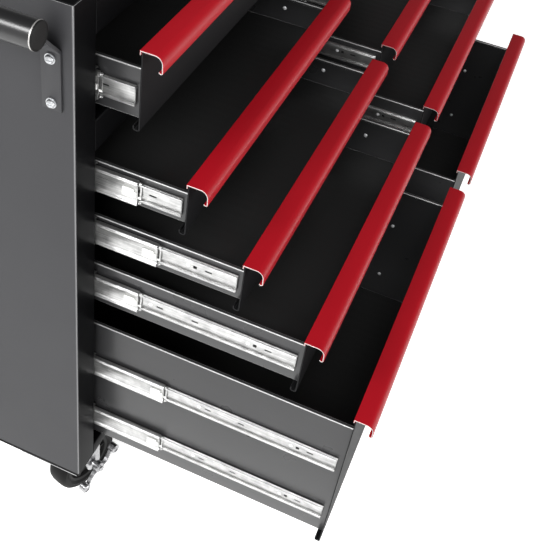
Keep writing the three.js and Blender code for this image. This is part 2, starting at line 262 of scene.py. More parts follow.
def mirrored_copy(piece, middle_x):
    """A copy on the other side of the plane x = middle_x."""
    take(piece)
    bpy.ops.object.duplicate(linked=False)
    copy = bpy.context.object
    copy.scale.x = -1
    copy.location.x = 2 * middle_x
    take(copy)
    bpy.ops.object.transform_apply(location=True, rotation=True, scale=True)
    recalculate(copy)
    return settle(copy)


def softened_node(node, width, segments=2):
    """A rounded copy of a CAD node, for plain plates and pressed parts."""
    take(frame["nodes"][node])
    bpy.ops.object.duplicate(linked=False)
    copy = bpy.context.object
    copy.parent = None
    for key in list(copy.keys()):
        del copy[key]
    take(copy)
    bpy.ops.object.mode_set(mode="EDIT")
    bpy.ops.mesh.select_all(action="SELECT")
    bpy.ops.mesh.remove_doubles(threshold=1e-5)
    bpy.ops.mesh.dissolve_limited(angle_limit=math.radians(3))
    bpy.ops.object.mode_set(mode="OBJECT")
    soften(copy, width, segments)
    return settle(copy)


def place(piece, name, finish, body, slot, *nodes):
    """Names a piece, gives it its material and body, and hides the CAD nodes that it stands for."""
    piece.name = name
    piece.data.name = name
    piece.data.materials.clear()
    piece.data.materials.append(finish)
    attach(piece, body)
    if nodes:
        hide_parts(*nodes)
    return piece


def arc(centre, radius, start, end, steps):
    """Points on an arc, with its angles in degrees."""
    angles = [math.radians(start + (end - start) * i / steps) for i in range(steps + 1)]
    return [(centre[0] + radius * math.cos(a), centre[1] + radius * math.sin(a)) for a in angles]


# ---------------------------------------------------------------- materials

def colour(code):
    """A hex sRGB colour as linear RGBA."""
    parts = [int(code[i:i + 2], 16) / 255 for i in (1, 3, 5)]
    return [p / 12.92 if p <= 0.04045 else ((p + 0.055) / 1.055) ** 2.4 for p in parts] + [1]


def add_node(tree, kind, inputs=None, **settings):
    """One node with its settings. An input is a value, or the socket that feeds it."""
    node = tree.nodes.new(kind)
    for key, value in settings.items():
        setattr(node, key, value)
    for key, value in (inputs or {}).items():
        if isinstance(value, bpy.types.NodeSocket):
            tree.links.new(value, node.inputs[key])
        else:
            node.inputs[key].default_value = value
    return node


def new_material(name):
    """An empty material, with its node tree, its shader and its Object coordinates."""
    material = bpy.data.materials.new(name)
    material.use_nodes = True
    tree = material.node_tree
    tree.nodes.clear()
    shader = add_node(tree, "ShaderNodeBsdfPrincipled")
    add_node(tree, "ShaderNodeOutputMaterial", {"Surface": shader.outputs["BSDF"]})
    place_of = add_node(tree, "ShaderNodeTexCoord").outputs["Object"]
    return material, tree, shader, place_of


def set_values(shader, **values):
    for key, value in values.items():
        shader.inputs[key.replace("_", " ")].default_value = value


def bend_highlight_mask(tree):
    """Where a painted highlight goes: 1 on the bends of sheet that is folded square to the axes, and 0 on its flat
    faces.
    """
    geometry = add_node(tree, "ShaderNodeNewGeometry")
    size = add_node(tree, "ShaderNodeVectorMath", {0: geometry.outputs["True Normal"]},
                    operation="ABSOLUTE")
    parts = add_node(tree, "ShaderNodeSeparateXYZ", {0: size.outputs[0]})
    widest = add_node(tree, "ShaderNodeMath", {0: parts.outputs[0], 1: parts.outputs[1]},
                      operation="MAXIMUM")
    widest = add_node(tree, "ShaderNodeMath", {0: widest.outputs[0], 1: parts.outputs[2]},
                      operation="MAXIMUM")
    mask = add_node(tree, "ShaderNodeMapRange", {
        "Value": widest.outputs[0], "From Min": 0.99, "From Max": 0.9, "To Min": 0.0, "To Max": 1.0})
    return mask.outputs["Result"]


def powder_coat(name, dark, light, bend, roughness, peel, flake=0.0, shine=0.5):
    """Powder coat, sprayed and baked on sheet steel: even colour with a faint orange peel.

    bend is a lighter colour on its bends, a painted highlight; flake is how far metal flake in it
    mirrors its surroundings, and shine is its plain gloss. Its dimples are 1.6 mm across.
    """
    material, tree, shader, place_of = new_material(name)
    cloud = add_node(tree, "ShaderNodeTexNoise", {
        "Vector": place_of, "Scale": 1 / (180 * MM), "Detail": 2})
    tint = add_node(tree, "ShaderNodeValToRGB", {"Fac": cloud.outputs["Fac"]})
    tint.color_ramp.elements[0].color = colour(dark)
    tint.color_ramp.elements[1].color = colour(light)
    # the bend colour mixed in over the bends is a painted highlight
    shade = add_node(tree, "ShaderNodeMix", {
        0: bend_highlight_mask(tree), 6: tint.outputs["Color"], 7: colour(bend)}, data_type="RGBA")
    tree.links.new(shade.outputs[2], shader.inputs["Base Color"])
    dimples = add_node(tree, "ShaderNodeTexNoise", {
        "Vector": place_of, "Scale": 1 / (1.6 * MM), "Detail": 1})
    bump = add_node(tree, "ShaderNodeBump", {
        "Height": dimples.outputs["Fac"], "Strength": peel, "Distance": 0.1 * MM})
    tree.links.new(bump.outputs["Normal"], shader.inputs["Normal"])
    patches = add_node(tree, "ShaderNodeTexNoise", {
        "Vector": place_of, "Scale": 1 / (60 * MM), "Detail": 3})
    wear = add_node(tree, "ShaderNodeMapRange", {
        "Value": patches.outputs["Fac"], "To Min": roughness - 0.03, "To Max": roughness + 0.04})
    tree.links.new(wear.outputs["Result"], shader.inputs["Roughness"])
    set_values(shader, IOR=1.5, Metallic=flake, Specular_IOR_Level=shine)
    return material


def red_enamel():
    """Red baked enamel on bent steel strip: a smooth, wet gloss under a clear coat."""
    material, tree, shader, place_of = new_material("red_baked_enamel")
    cloud = add_node(tree, "ShaderNodeTexNoise", {
        "Vector": place_of, "Scale": 1 / (120 * MM), "Detail": 2})
    tint = add_node(tree, "ShaderNodeValToRGB", {"Fac": cloud.outputs["Fac"]})
    tint.color_ramp.elements[0].color = colour("#960b18")
    tint.color_ramp.elements[1].color = colour("#a20d1b")
    tree.links.new(tint.outputs["Color"], shader.inputs["Base Color"])
    ripple = add_node(tree, "ShaderNodeTexNoise", {
        "Vector": place_of, "Scale": 1 / (2.2 * MM), "Detail": 1})
    bump = add_node(tree, "ShaderNodeBump", {
        "Height": ripple.outputs["Fac"], "Strength": 0.05, "Distance": 0.1 * MM})
    tree.links.new(bump.outputs["Normal"], shader.inputs["Normal"])
    set_values(shader, IOR=1.5, Roughness=0.4, Specular_IOR_Level=0.2,
               Coat_Weight=0.08, Coat_Roughness=0.15)
    return material


def zinc_plate(name, base, bright, roughness, grain, metal=1.0):
    """Bright zinc plate on rolled steel: a clear grey metal with fine drawing lines along it."""
    material, tree, shader, place_of = new_material(name)
    stretched = add_node(tree, "ShaderNodeMapping", {
        "Vector": place_of, "Scale": (1 / (0.9 * MM), 1 / grain, 1 / (0.9 * MM))})
    lines = add_node(tree, "ShaderNodeTexNoise", {
        "Vector": stretched.outputs["Vector"], "Scale": 1, "Detail": 3})
    mottle = add_node(tree, "ShaderNodeTexNoise", {
        "Vector": place_of, "Scale": 1 / (14 * MM), "Detail": 3})
    blend = add_node(tree, "ShaderNodeMix", {
        0: 0.6, 2: mottle.outputs["Fac"], 3: lines.outputs["Fac"]})
    tint = add_node(tree, "ShaderNodeValToRGB", {"Fac": blend.outputs[0]})
    tint.color_ramp.elements[0].position = 0.35
    tint.color_ramp.elements[0].color = colour(base)
    tint.color_ramp.elements[1].position = 0.65
    tint.color_ramp.elements[1].color = colour(bright)
    tree.links.new(tint.outputs["Color"], shader.inputs["Base Color"])
    polish = add_node(tree, "ShaderNodeMapRange", {
        "Value": lines.outputs["Fac"], "To Min": roughness - 0.08, "To Max": roughness + 0.1})
    tree.links.new(polish.outputs["Result"], shader.inputs["Roughness"])
    bump = add_node(tree, "ShaderNodeBump", {
        "Height": lines.outputs["Fac"], "Strength": 0.15, "Distance": 0.05 * MM})
    tree.links.new(bump.outputs["Normal"], shader.inputs["Normal"])
    set_values(shader, Metallic=metal)
    return material


def ribbed_vinyl():
    """Black PVC drawer mat, calendered with wide shallow ribs from front to back and a fine grain:
    near black, with a soft broken sheen."""
    material, tree, shader, place_of = new_material("ribbed_vinyl_mat")
    # the texture's waves are 2 * pi of these lengths apart, about 19 mm
    rib_length = 3 * MM
    ribs = add_node(tree, "ShaderNodeTexWave", {
        "Vector": place_of, "Scale": 1 / (20 * rib_length), "Distortion": 0},
        bands_direction="X", wave_profile="SIN")
    fibres = add_node(tree, "ShaderNodeTexNoise", {
        "Vector": place_of, "Scale": 1 / (1.2 * MM), "Detail": 4})
    height = add_node(tree, "ShaderNodeMix", {
        0: 0.35, 2: ribs.outputs["Fac"], 3: fibres.outputs["Fac"]})
    bump = add_node(tree, "ShaderNodeBump", {
        "Height": height.outputs[0], "Strength": 0.35, "Distance": 0.4 * MM})
    tree.links.new(bump.outputs["Normal"], shader.inputs["Normal"])
    tint = add_node(tree, "ShaderNodeValToRGB", {"Fac": fibres.outputs["Fac"]})
    tint.color_ramp.elements[0].color = colour("#181818")
    tint.color_ramp.elements[1].color = colour("#262626")
    tree.links.new(tint.outputs["Color"], shader.inputs["Base Color"])
    set_values(shader, IOR=1.5, Roughness=0.42)
    return material


def moulded(name, dark, light, roughness, grain, depth, shine=0.5):
    """Moulded plastic or rubber: a matt skin with a fine spark-eroded grain."""
    material, tree, shader, place_of = new_material(name)
    grains = add_node(tree, "ShaderNodeTexNoise", {
        "Vector": place_of, "Scale": 1 / grain, "Detail": 3})
    tint = add_node(tree, "ShaderNodeValToRGB", {"Fac": grains.outputs["Fac"]})
    tint.color_ramp.elements[0].color = colour(dark)
    tint.color_ramp.elements[1].color = colour(light)
    tree.links.new(tint.outputs["Color"], shader.inputs["Base Color"])
    bump = add_node(tree, "ShaderNodeBump", {
        "Height": grains.outputs["Fac"], "Strength": depth, "Distance": 0.15 * MM})
    tree.links.new(bump.outputs["Normal"], shader.inputs["Normal"])
    set_values(shader, IOR=1.47, Roughness=roughness, Specular_IOR_Level=shine)
    return material


# Powder coat on the sides: the frame's black coat given a dull dark grey as painted light on the sides, with a
# painted highlight in thin lighter lines at the folds
lit_grey_side_coat = powder_coat(
    "side_coat_painted_lit_grey", "#303032", "#363638", "#7c7c7d", 0.45, 0.12, 0.0, 0.2)
# The same painted-light grey on the handle's pressed brackets, where no fold has a painted highlight
lit_grey_bracket_coat = powder_coat(
    "bracket_coat_painted_lit_grey", "#303032", "#363638", "#363638", 0.45, 0.12, 0.0, 0.2)
# Black powder coat on the stiles, rails and plates: near black, with blurred weak reflections and a faint painted
# highlight on the bends
black_gloss_coat = powder_coat(
    "black_gloss_powder_coat", "#0a0a0b", "#0e0e0f", "#1a1a1b", 0.42, 0.06, 0.0, 0.025)
# Black powder coat on the drawers' fronts: a shade lighter and rougher than the frame, with a painted highlight on
# the bends
front_coat = powder_coat(
    "drawer_front_powder_coat", "#141415", "#181819", "#2c2c2d", 0.5, 0.1, 0.0, 0.04)
# Powder coat with metal flake on the trays and liners: glossy dark grey, with a bright painted highlight on the
# bends
tray_coat = powder_coat("tray_powder_coat", "#2c2c2d", "#343435", "#c0c0c0", 0.28, 0.1, 0.2)
# Black powder coat on the push handle: a strong gloss, with one long highlight
handle_coat = powder_coat(
    "handle_powder_coat", "#101011", "#161617", "#161617", 0.3, 0.05, 0.0, 0.7)
# Red baked enamel on the pulls: even deep red, with a narrow pale highlight along the nose
red_pull = red_enamel()
# Zinc plate on the rolled slides: light grey metal, with long streaks along each member
slide_zinc = zinc_plate("rolled_zinc_plated_steel", "#949494", "#cececd", 0.3, 40 * MM, 0.9)
# Zinc plate on the casters' pressed parts: darker than the slides, with short streaks
caster_zinc = zinc_plate("pressed_zinc_plated_steel", "#8e8e90", "#c2c2c3", 0.28, 6 * MM)
# Zinc plate on the handle's screws: soft light grey metal with a fine mottle
bracket_zinc = zinc_plate("turned_zinc_plated_steel", "#a4a6a8", "#cfd0d2", 0.4, 2 * MM)
# Zinc plate on small headed screws and nuts: bright zinc, made whitish and half matt as a painted glint, so that
# they read as bright dots
screw_zinc_with_glint = zinc_plate("headed_zinc_with_painted_glint", "#dcdee0", "#f4f4f4", 0.45, 2 * MM, 0.4)
# Bare steel at sheared ends: a thin pale outline, duller than the zinc
cut_metal = zinc_plate("sheared_bare_steel", "#a8a6a4", "#c4c2c0", 0.45, 1 * MM, 0.8)
# Chrome plate on the lock: the sharpest reflection on the chest
lock_chrome = zinc_plate("polished_chrome_plate", "#c8c9cb", "#d6d7d8", 0.14, 3 * MM)
# PVC on the drawers' floors: near black, with a soft broken sheen
mat_vinyl = ribbed_vinyl()
# Rubber on the wheels: nearly black and matt, with a coarse grain
tyre_rubber = moulded("moulded_tread_rubber", "#0c0c0c", "#141414", 0.55, 2.5 * MM, 0.2, 0.1)
# Nylon in the wheels' hubs: a shade lighter and smoother than the tyre
hub_plastic = moulded("moulded_hub_nylon", "#141414", "#1c1c1c", 0.5, 1.5 * MM, 0.12, 0.15)
# Polyethylene in the handle's end caps: black and matt beside the glossy tube
cap_plastic = moulded("moulded_black_polyethylene", "#0c0c0c", "#121212", 0.5, 1.2 * MM, 0.15, 0.15)
# Acetal in the slides' latches: clean white, with a soft gloss
clip_plastic = moulded("moulded_white_acetal", "#e9e9e6", "#f6f6f4", 0.35, 1.5 * MM, 0.05)


# ---------------------------------------------------------------- cabinet

def side_panels():
    """Sides folded from one sheet with the front stile and its return, and a rear flange."""
    low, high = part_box("side_panel_left")
    front_return = 18 * MM
    rear_flange = 12 * MM
    path = [(low.x + rear_flange, high.y), (low.x, high.y), (low.x, low.y), (high.x, low.y),
            (high.x, low.y + front_return)]
    left = folded_sheet(path, "z", (low.z + LOWER_SEAM, high.z), SHEET, BEND)
    other_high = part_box("side_panel_right")[1]
    right = mirrored_copy(left, (low.x + other_high.x) / 2)
    # the sides take a lighter grey than the frame's black coat: painted light
    place(left, "left_side", lit_grey_side_coat, "cabinet", "side_paint", "side_panel_left")
    place(right, "right_side", lit_grey_side_coat, "cabinet", "side_paint", "side_panel_right")


def front_rails():
    for node in ("top_rail", "middle_rail", "bottom_rail"):
        low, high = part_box(node)
        path = [(high.y, high.z), (low.y, high.z), (low.y, low.z), (high.y, low.z)]
        piece = folded_sheet(path, "x", (low.x, high.x), SHEET, BEND)
        place(piece, f"folded_{node}", black_gloss_coat, "cabinet", "gloss_paint", node)
    low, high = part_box("centre_stile")
    path = [(low.x, high.y), (low.x, low.y), (high.x, low.y), (high.x, high.y)]
    piece = folded_sheet(path, "z", (low.z, high.z), SHEET, BEND)
    place(piece, "folded_centre_stile", black_gloss_coat, "cabinet", "gloss_paint", "centre_stile")


def stile_faces():
    """A gloss black skin on the front of each side's stile and its return, as thin as paint."""
    # the side's sheet is painted a lighter grey as painted light; this skin keeps the stile's front in the frame's
    # own black
    film = 0.12 * MM
    outer_margin = 2.4 * MM
    top_margin = 1 * MM
    return_depth = 17 * MM
    low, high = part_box("side_panel_left")
    other_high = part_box("side_panel_right")[1]
    path = [(low.x + outer_margin, low.y - film), (high.x + film, low.y - film),
            (high.x + film, low.y + return_depth)]
    left = folded_sheet(path, "z", (low.z + LOWER_SEAM, high.z - top_margin), 2 * film, BEND)
    right = mirrored_copy(left, (low.x + other_high.x) / 2)
    for side, piece in (("left", left), ("right", right)):
        place(piece, f"{side}_stile_face", black_gloss_coat, "cabinet", "gloss_paint")


def lower_seams():
    """A black band, set back a little, along the bottom of each side."""
    low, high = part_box("side_panel_left")
    other_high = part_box("side_panel_right")[1]
    inset = 0.6 * MM
    left = block((low.x + inset, low.y + inset, low.z),
                 (high.x - inset, high.y - inset, low.z + LOWER_SEAM), 0.2 * MM, 1)
    right = mirrored_copy(left, (low.x + other_high.x) / 2)
    for side, piece in (("left", left), ("right", right)):
        place(piece, f"{side}_lower_seam", black_gloss_coat, "cabinet", "gloss_paint")


def plates():
    rounding = 0.5 * MM
    for node in ("top_panel", "back_panel", "base_panel"):
        plate = softened_node(node, rounding)
        place(plate, f"rounded_{node}", black_gloss_coat, "cabinet", "gloss_paint", node)


def slide_liners():
    """The inner walls, without their slides, which are pieces of their own."""
    reach = SLIDE_DEPTH - 0.6 * MM
    front_gap = 16 * MM
    rear_overlap = 4 * MM
    for node in ("left", "right", "centre_left", "centre_right"):
        low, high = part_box(f"slide_liner_{node}")
        wall_side = 1 if node in ("left", "centre_right") else -1
        anchor, face = (low.x, high.x - reach) if wall_side > 0 else (high.x, low.x + reach)
        front, back = low.y + front_gap, high.y + rear_overlap
        path = [(anchor, front), (face, front), (face, back), (anchor, back)]
        if wall_side < 0:
            path.reverse()
        piece = folded_sheet(path, "z", (low.z, high.z), SLIDE_SHEET, BEND)
        place(piece, f"folded_liner_{node}", tray_coat, "cabinet", "gloss_paint",
              f"slide_liner_{node}")


# ---------------------------------------------------------------- slides
# Each piece is modelled once, with the drawer wall at x = 0 and the slide's middle at z = 0, and
# out towards -X. Each slide in the chest is a set of copies.

def channel(profile, out, span):
    """A rolled slide member along Y, from its half profile. out is the way it stands out in X."""
    upper = [(out * u * MM, v * MM) for u, v in profile]
    path = upper + [(x, -z) for x, z in reversed(upper)]
    opens = profile[0][0] - profile[-1][0]
    if out * opens < 0:
        path.reverse()
    return folded_sheet(path, "y", span, SLIDE_SHEET, 0.35 * MM, 1)


def drawer_member(length):
    """The member on a drawer wall: slots, square holes and a stop with cut corners at its front."""
    member = channel(DRAWER_MEMBER, -1, (0, length))
    outer, inner = -4 * MM, -0.5 * MM
    slot_half = 5.5 * MM
    square_half = 2.6 * MM
    tools = [block((outer, y - slot_half, -0.4 * MM), (inner, y + slot_half, 2.8 * MM), 1.4 * MM, 3)
             for y in SLOTS]
    tools += [block((outer, y - square_half, -1.6 * MM), (inner, y + square_half, 3.6 * MM), 0.5 * MM, 1)
              for y in SQUARES]
    carve(member, joined(*tools))
    path = [(-3 * MM, 12.6 * MM), (-4.2 * MM, 10.4 * MM),
            (-4.2 * MM, -10.4 * MM), (-3 * MM, -12.6 * MM)]
    lip = folded_sheet(path, "y", (0.1 * MM, 1.5 * MM), 1.8 * MM)
    return joined(member, lip)


def screw_heads():
    """Pan heads in the drawer member, and their riveted ends inside the wall."""
    pan = [(0, -1.6 * MM), (1.4 * MM, -1.5 * MM), (2.7 * MM, -0.9 * MM), (3.1 * MM, 0), (0, 0)]
    rivet = [(0, -0.3 * MM), (3.5 * MM, -0.3 * MM), (3.2 * MM, 1 * MM), (1.8 * MM, 1.9 * MM),
             (0, 2.1 * MM)]
    member_face = -3.1 * MM
    height = 1 * MM
    heads = []
    for y in SCREWS:
        heads.append(turned("x", (member_face, y, height), pan, 20))
        heads.append(turned("x", (SHEET, y, height), rivet, 20))
    return joined(*heads)


def latch_clip():
    """The white latch in the middle member: a body with a round nose, and a finger behind it."""
    outer, inner = -MIDDLE_FACE, -7.4 * MM
    body = block((outer, 5 * MM, -7.5 * MM), (inner, 21 * MM, 6 * MM), 1.2 * MM, 3)
    nose = block((outer + 0.3 * MM, 1.5 * MM, -6 * MM), (inner, 8 * MM, 2 * MM), 1 * MM, 3)
    lever = block((-6.6 * MM, -4.2 * MM, -9 * MM), (-5 * MM, 6 * MM, -6 * MM), 0.6 * MM, 2)
    return joined(body, nose, lever)


def ball_cage():
    """The end of the ball cage, which stands out past the middle member, with its first balls."""
    ball_height = 15.6 * MM
    parts = []
    for way in (-1, 1):
        low, high = sorted((way * 14.4 * MM, way * 16.8 * MM))
        parts.append(block((-6.4 * MM, -4.5 * MM, low), (-3.4 * MM, 40 * MM, high), 0.4 * MM, 1))
        bpy.ops.object.select_all(action="DESELECT")
        bpy.ops.mesh.primitive_uv_sphere_add(segments=12, ring_count=8, radius=1.7 * MM,
                                             location=(-6 * MM, -1.8 * MM, way * ball_height))
        parts.append(settle(bpy.context.object))
    path = [(-5.5 * MM, 11 * MM), (-5.5 * MM, 4 * MM), (-6.4 * MM, 0), (-6.4 * MM, -5 * MM),
            (-5.5 * MM, -9 * MM)]
    parts.append(folded_sheet(path, "y", (-4.4 * MM, -2.4 * MM), 0.6 * MM, 1 * MM))
    return joined(*parts)


def cabinet_member(length):
    """The member on the liner, which opens towards the drawer."""
    member = channel(CABINET_MEMBER, 1, (0, length))
    hole_places = (30 * MM, 180 * MM, 400 * MM)
    holes = [rod("x", (2 * MM, y, 0), 3 * MM, 8 * MM, 0.1 * MM, 16) for y in hole_places]
    carve(member, joined(*holes))
    take(member)
    member.location.x = -SLIDE_DEPTH
    return settle(member)


def slide_masters():
    """One left and one right version of each slide piece, with its finish and its slot."""
    liner_low, liner_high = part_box("slide_liner_left")
    tray_low, tray_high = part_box("drawer_top_tray")
    middle_low, middle_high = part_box("drawer_top_slide_middle")
    member_length = tray_high.y - tray_low.y - MEMBER_START - MEMBER_END
    middle_span = (0, middle_high.y - middle_low.y)
    made = [
        ("drawer_member", drawer_member(member_length), slide_zinc, "zinc"),
        ("screws", screw_heads(), screw_zinc_with_glint, "zinc"),
        ("middle_member", channel(MIDDLE_MEMBER, -1, middle_span), slide_zinc, "zinc"),
        ("latch", latch_clip(), clip_plastic, "black_plastic"),
        ("ball_cage", ball_cage(), slide_zinc, "zinc"),
        ("cabinet_member", cabinet_member(liner_high.y - liner_low.y), slide_zinc, "zinc"),
    ]
    return [(word, {-1: piece, 1: mirrored_copy(piece, 0)}, finish, slot)
            for word, piece, finish, slot in made]


def fit_slides(masters, drawer_name, suffix, node, walls, front):
    """Copies one pair of slides onto a drawer. walls are the outside faces of its two walls."""
    low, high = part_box(node)
    height = (low.z + high.z) / 2
    liner_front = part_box("slide_liner_left")[0].y
    slide_body = f"{drawer_name}_slide"
    rides = {
        "drawer_member": (drawer_name, front + MEMBER_START),
        "screws": (drawer_name, front + MEMBER_START),
        "middle_member": (slide_body, low.y),
        "latch": (slide_body, low.y),
        "ball_cage": (slide_body, low.y),
        "cabinet_member": ("cabinet", liner_front),
    }
    for word, sides, finish, slot in masters:
        body, y = rides[word]
        for side, letter, wall in ((-1, "l", walls[0]), (1, "r", walls[1])):
            copy = moved_copy(sides[side], (wall, y, height))
            nodes = [node] if word == "middle_member" and side < 0 else []
            place(copy, f"{drawer_name}{suffix}_{word}_{letter}", finish, body, slot, *nodes)


# ---------------------------------------------------------------- drawers

def inside_box(name):
    """The stated space inside a drawer, from the record."""
    for opening in frame["record"]["physics"]["openings"]:
        if opening["name"] == f"{name}_inside":
            return [Vector(corner) for corner in opening["box_m"]]
    raise ValueError(f"no opening for {name}")


def tray(name):
    """The pan with its rolled wall tops, its back, its front with the hem, and its mat."""
    low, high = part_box(f"{name}_tray")
    inner_low, inner_high = inside_box(name)
    left = inner_low.x - OPENING_SIDE
    right = inner_high.x + OPENING_SIDE
    floor = inner_low.z - OPENING_FLOOR
    top = inner_high.z
    face = low.y
    rear = high.y
    section = [
        (left + TRAY_LIP, top - TRAY_HEM), (left + TRAY_LIP, top), (left, top), (left, floor),
        (right, floor), (right, top), (right - TRAY_LIP, top), (right - TRAY_LIP, top - TRAY_HEM),
    ]
    pan = folded_sheet(section, "y", (face + SHEET, rear - 0.4 * MM), SHEET, 1.6 * MM)
    place(pan, f"{name}_pan", tray_coat, name, "tray_paint", f"{name}_tray")
    back_top = top - 1 * MM
    back_face = rear - 0.2 * MM
    back_path = [(back_face, floor + SHEET), (back_face, back_top), (rear - TRAY_LIP, back_top)]
    back = folded_sheet(back_path, "x", (left + SHEET, right - SHEET), SHEET, 1.4 * MM)
    place(back, f"{name}_back", tray_coat, name, "tray_paint")
    hem_height = 7 * MM
    front_path = [
        (face, high.z - PULL_SHEET - 0.2 * MM), (face, low.z), (face + FRONT_HEM, low.z),
        (face + FRONT_HEM, low.z + hem_height),
    ]
    front = folded_sheet(front_path, "x", (low.x, high.x), SHEET, 3.2 * MM, 4)
    place(front, f"{name}_front", front_coat, name, "tray_paint")
    gap = 4 * MM
    mat = block((left + SHEET + gap, face + SHEET + gap, floor + SHEET),
                (right - SHEET - gap, rear - SHEET - gap, floor + SHEET + MAT), 0.5 * MM)
    place(mat, f"{name}_mat", mat_vinyl, name, "black_plastic")
    return left, right, face


def pull_section(inset):
    """The outside of a pull's cross-section, from its hook on the front's top edge to its rolled
    lower edge, with the front's face at y = 0 and the pull's top at z = 0."""
    nose_y = -PULL_DEPTH + inset
    bead = 2.8 * MM
    hook_y = 3.8 * MM - inset
    path = [(hook_y, -6 * MM), (hook_y, -inset)]
    path += arc((nose_y + PULL_NOSE, -PULL_NOSE), PULL_NOSE - inset, 90, 180, 8)
    path += arc((nose_y + bead, -PULL_DROP + bead), bead, 180, 350, 6)
    return path


def pull(length):
    """A bent strip that hooks over the top of the front, with a round nose and a rolled edge, and
    the bare metal of its two cut ends."""
    strip = folded_sheet(pull_section(0), "x", (0, length), PULL_SHEET)
    inset = 0.35 * MM
    ends = [folded_sheet(pull_section(inset), "x", (start, start + 0.5 * MM), PULL_SHEET - 2 * inset)
            for start in (-0.15 * MM, length - 0.35 * MM)]
    return strip, joined(*ends)


def fit_pull(master, name):
    strip, ends = master
    low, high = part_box(f"{name}_pull")
    corner = (low.x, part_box(f"{name}_tray")[0].y, high.z)
    place(moved_copy(strip, corner), f"{name}_bent_pull", red_pull, name, "red_anodised", f"{name}_pull")
    place(moved_copy(ends, corner), f"{name}_pull_cut_ends", cut_metal, name, "zinc")


def drawers():
    masters = slide_masters()
    pulls = {}
    names = {"drawer_top": [""]}
    for bank in BANKS:
        for row in ROWS:
            names[f"drawer_{bank}_{row}"] = ["_upper", "_lower"] if row == ROWS[-1] else [""]
    for name, suffixes in names.items():
        left, right, face = tray(name)
        low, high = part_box(f"{name}_pull")
        length = round(high.x - low.x, 4)
        if length not in pulls:
            pulls[length] = pull(length)
        fit_pull(pulls[length], name)
        for suffix in suffixes:
            fit_slides(masters, name, suffix, f"{name}_slide_middle{suffix}", (left, right), face)
    spare = [piece for master in pulls.values() for piece in master]
    spare += [piece for word, sides, finish, slot in masters for piece in sides.values()]
    for piece in spare:
        bpy.data.objects.remove(piece)


# ---------------------------------------------------------------- push handle

def bolt(centre, radius, height, axis="x", way=-1):
    """A flanged hexagon head: a washer face, six flats and a chamfered top."""
    flange = turned(axis, centre, [
        (0, 0), (radius, 0), (radius, way * height * 0.15),
        (radius * 0.82, way * height * 0.32), (0, way * height * 0.34)], 32)
    bpy.ops.object.select_all(action="DESELECT")
    along = Vector([1 if name == axis else 0 for name in "xyz"])
    turn = {"x": (0, math.pi / 2, 0), "y": (math.pi / 2, 0, 0), "z": (0, 0, 0)}[axis]
    middle = Vector(centre) + along * way * height * 0.6
    bpy.ops.mesh.primitive_cylinder_add(vertices=6, radius=radius * 0.74, depth=height * 0.8,
                                        location=middle, rotation=turn)
    head = bpy.context.object
    bpy.ops.object.transform_apply(location=True, rotation=True, scale=True)
    soften(head, radius * 0.1, 3, 40)
    return joined(flange, settle(head))


def slotted_screw(centre):
    """A round head with a slot, on a flat washer, standing out towards -X."""
    washer = turned("x", centre, [(0, 0), (6.7 * MM, 0), (6.7 * MM, -1.2 * MM), (0, -1.2 * MM)], 32)
    head = turned("x", centre, [
        (0, -1.1 * MM), (5.4 * MM, -1.1 * MM), (5.4 * MM, -2.6 * MM), (4.4 * MM, -4.2 * MM),
        (2.2 * MM, -5 * MM), (0, -5.2 * MM)], 32)
    x, y, z = centre
    slot = block((x - 7 * MM, y - 9 * MM, z - 0.8 * MM),
                 (x - 3.6 * MM, y + 9 * MM, z + 0.8 * MM), 0.1 * MM, 1)
    return joined(washer, carve(head, slot))


def push_handle():
    low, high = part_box("handle_tube")
    centre_x, centre_z = (low.x + high.x) / 2, (low.z + high.z) / 2
    radius = (high.x - low.x) / 2 - 0.15 * MM
    bore = radius - 1.5 * MM
    rounding = 0.5 * MM
    length = high.y - low.y
    tube = turned("y", (centre_x, low.y, centre_z), [
        (bore, 0), (radius - rounding, 0), (radius, rounding), (radius, length - rounding),
        (radius - rounding, length), (bore, length), (bore, 0)], 64)
    place(tube, "push_handle_tube", handle_coat, "cabinet", "handle_paint", "handle_tube")
    rims = []
    for end, way in ((low.y, -1), (high.y, 1)):
        inner, edge, outer = radius - 0.4 * MM, radius - 0.05 * MM, radius + 0.12 * MM
        rims.append(turned("y", (centre_x, end, centre_z), [
            (inner, way * 0.28 * MM), (edge, way * 0.28 * MM), (edge, 0), (outer, way * -0.5 * MM),
            (outer, way * -1.1 * MM), (inner, way * -1.3 * MM), (inner, way * 0.28 * MM)], 64))
    place(joined(*rims), "push_handle_cut_rims", cut_metal, "cabinet", "zinc")
    for end, way, node in ((low.y, -1, "handle_cap_front"), (high.y, 1, "handle_cap_rear")):
        cap_low, cap_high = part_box(node)
        tip = cap_low.y if way < 0 else cap_high.y
        plug = way * -12 * MM
        cap = turned("y", (centre_x, end, centre_z), [
            (0, plug), (bore - 0.3 * MM, plug), (bore - 0.3 * MM, way * 0.3 * MM),
            (radius - 0.1 * MM, way * 0.3 * MM), (radius - 0.2 * MM, tip - end - way * 1.0 * MM),
            (radius - 1.4 * MM, tip - end - way * 0.2 * MM), (radius - 5 * MM, tip - end),
            (0, tip - end)], 64)
        place(cap, f"push_{node}", cap_plastic, "cabinet", "black_plastic", node)
    for end in ("front", "rear"):
        node = f"handle_bracket_{end}"
        low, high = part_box(node)
        # the brackets take the sides' painted-light grey
        place(softened_node(node, 0.8 * MM), f"push_{node}", lit_grey_bracket_coat, "cabinet", "side_paint", node)
        middle_y = (low.y + high.y) / 2
        plate_face = high.x - 4 * MM
        screw_heights = (9.5 * MM, 67.5 * MM)
        heads = [slotted_screw((plate_face, middle_y, low.z + up)) for up in screw_heights]
        place(joined(*heads), f"push_{node}_screws", bracket_zinc, "cabinet", "zinc")


# ---------------------------------------------------------------- casters

